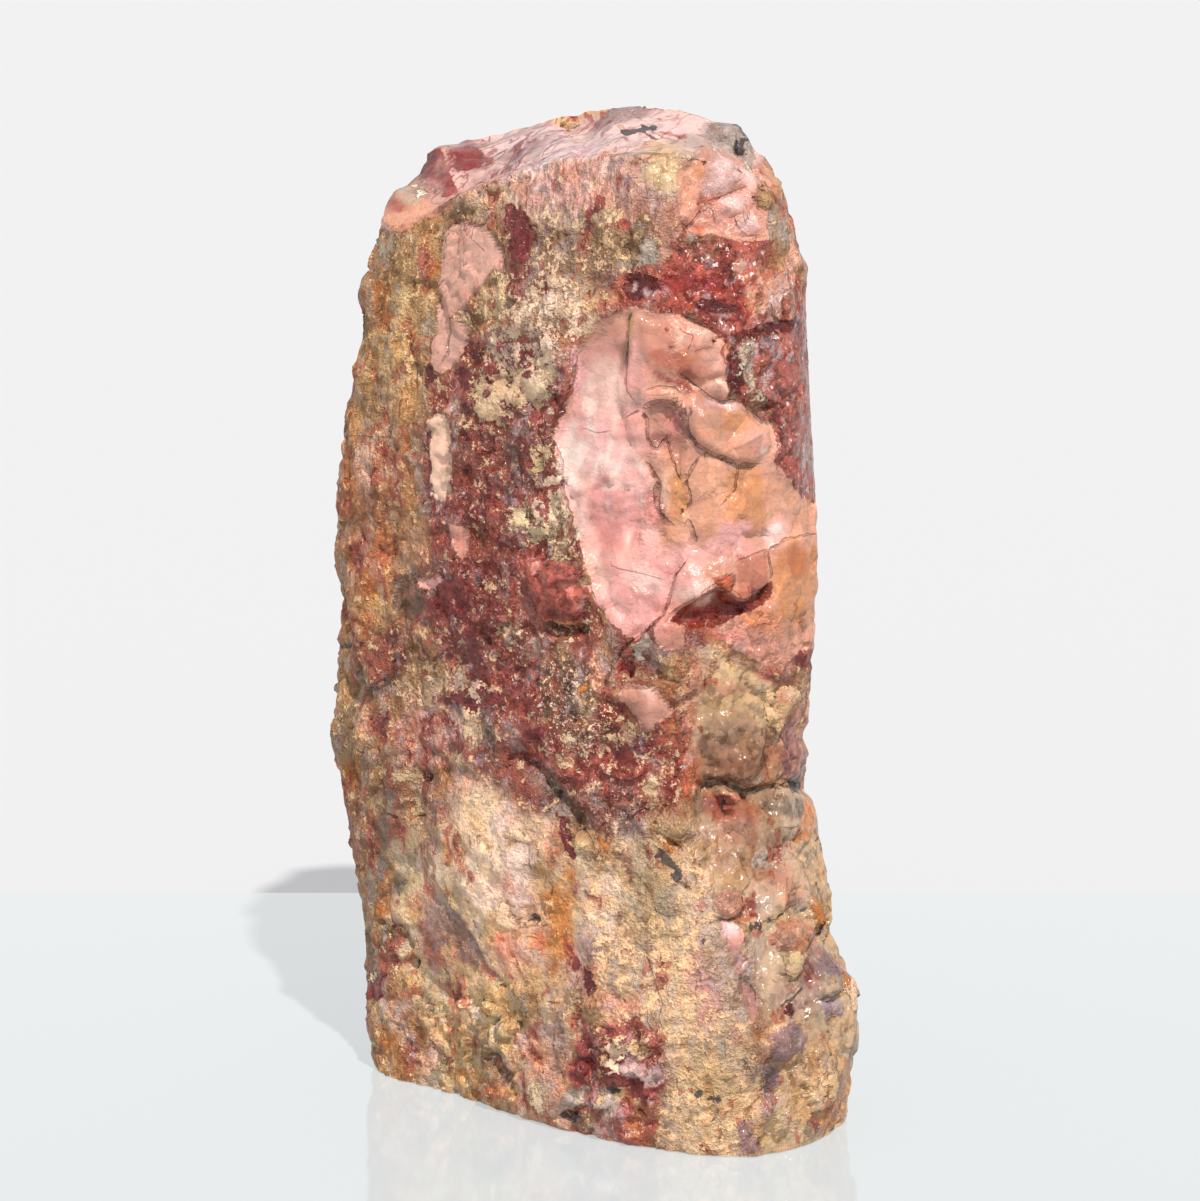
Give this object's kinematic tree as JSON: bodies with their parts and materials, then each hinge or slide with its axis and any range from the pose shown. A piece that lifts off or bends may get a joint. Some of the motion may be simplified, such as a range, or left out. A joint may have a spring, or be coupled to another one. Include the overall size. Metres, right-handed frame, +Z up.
{
  "type": "rough pink opal",
  "caption": "Tall upright piece of rough pink opal with a weathered ochre and maroon rind, a fresh pink and peach break, a broken top and a flat sawn base.",
  "frame": {"origin": "middle of the bounding box at the sawn base", "axes": "+Z up along the stone's height; the broad weathered rind faces -Y; the fresh break is at the +X end"},
  "size_m": [0.1132, 0.0598, 0.194],
  "materials": {
    "opal": "rough broken stone, waxy to glossy on the opal and matt on the rind"
  },
  "bodies": {
    "root": {"opal_stone": "opal"}
  },
  "joints": []
}
